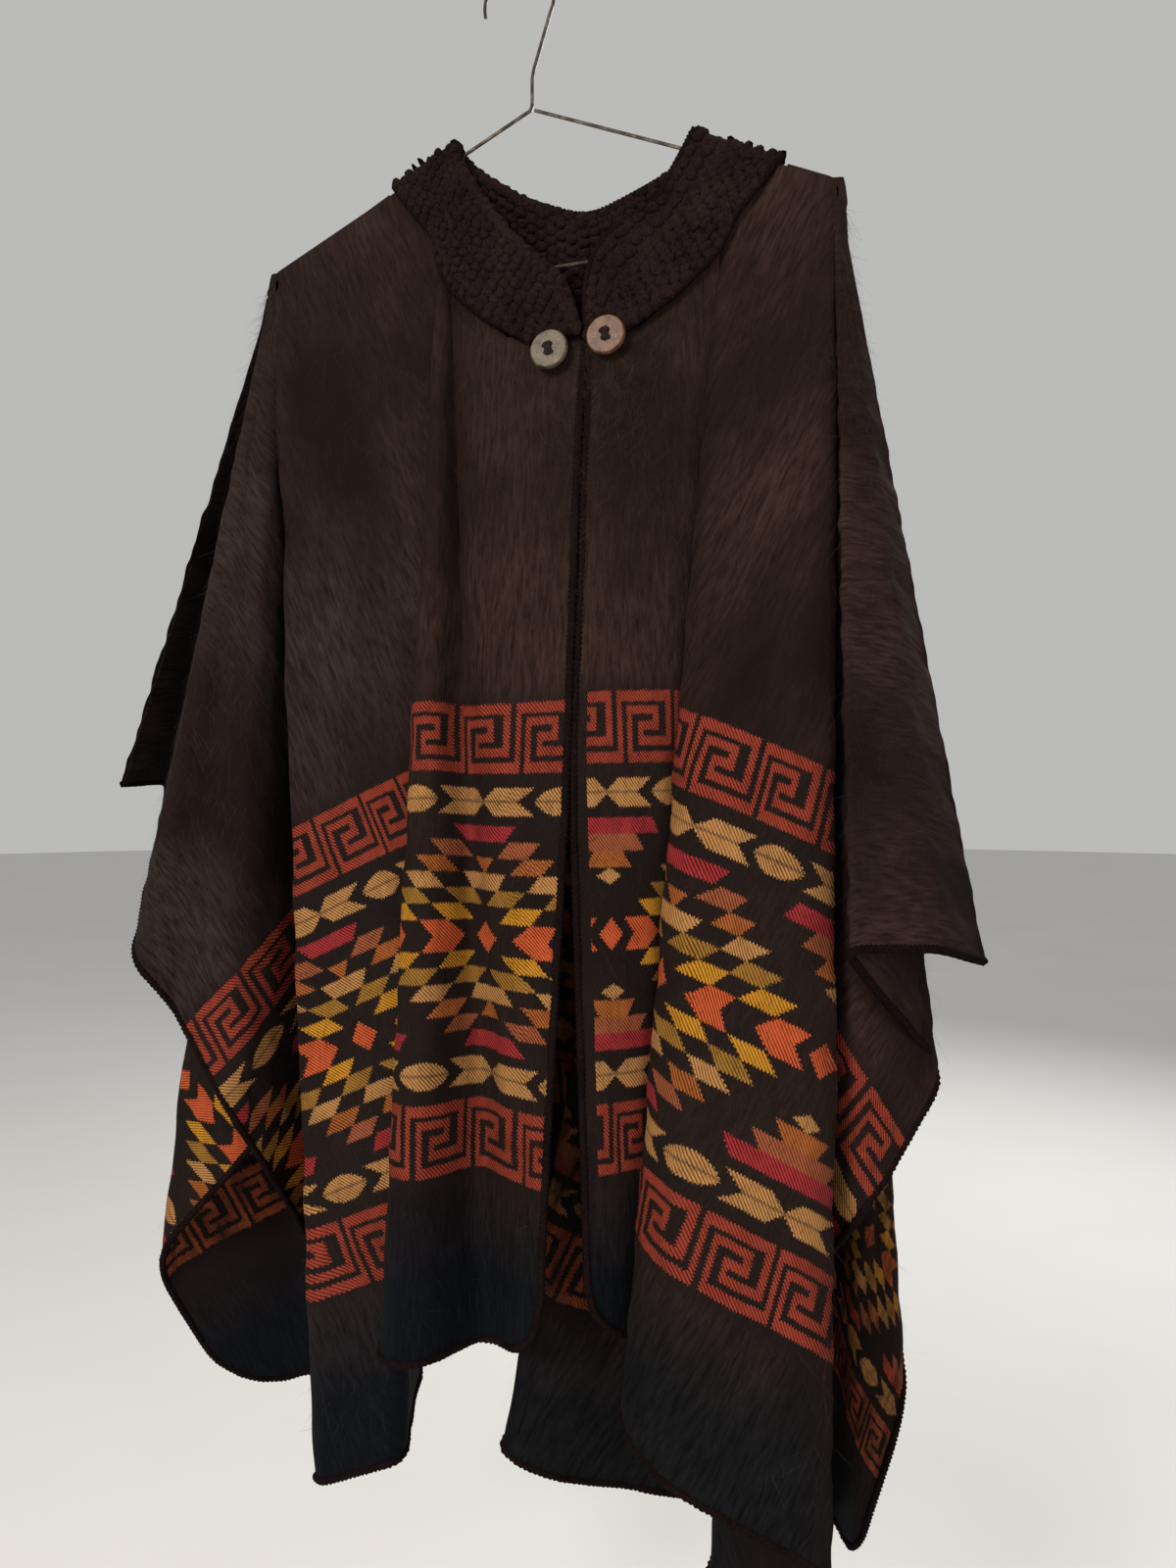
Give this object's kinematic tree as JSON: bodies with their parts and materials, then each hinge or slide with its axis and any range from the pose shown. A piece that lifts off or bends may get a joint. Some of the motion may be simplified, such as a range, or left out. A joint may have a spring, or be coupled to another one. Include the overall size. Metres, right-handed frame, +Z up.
{
  "type": "andean poncho on a wire hanger",
  "caption": "Open-front wool poncho with a knitted collar, two shell buttons and a woven border, hanging in folds on a wire hanger.",
  "frame": {"origin": "inner top of the hanger's hook, where a rail carries it", "axes": "+Z up, -Y towards the garment's front, +X towards the garment's left sleeve as the wearer has it, which is on the viewer's right"},
  "size_m": [0.7278, 0.2967, 1.186],
  "materials": {
    "front_left_wool": "brushed wool, warm black, with a woven border in reds and golds",
    "front_right_wool": "brushed wool, warm black, with a woven border in reds and golds",
    "back_wool": "brushed wool, warm black, with a woven border in reds and golds",
    "collar_knit": "thick knit with small bobbles, black",
    "button_left_shell": "coconut shell, satin",
    "button_right_shell": "coconut shell, satin",
    "hanger_wire": "thin dark lacquered wire"
  },
  "bodies": {
    "root": {"front_left": "front_left_wool", "front_right": "front_right_wool", "back": "back_wool", "collar": "collar_knit", "button_left": "button_left_shell", "button_right": "button_right_shell", "hanger": "hanger_wire"}
  },
  "joints": []
}
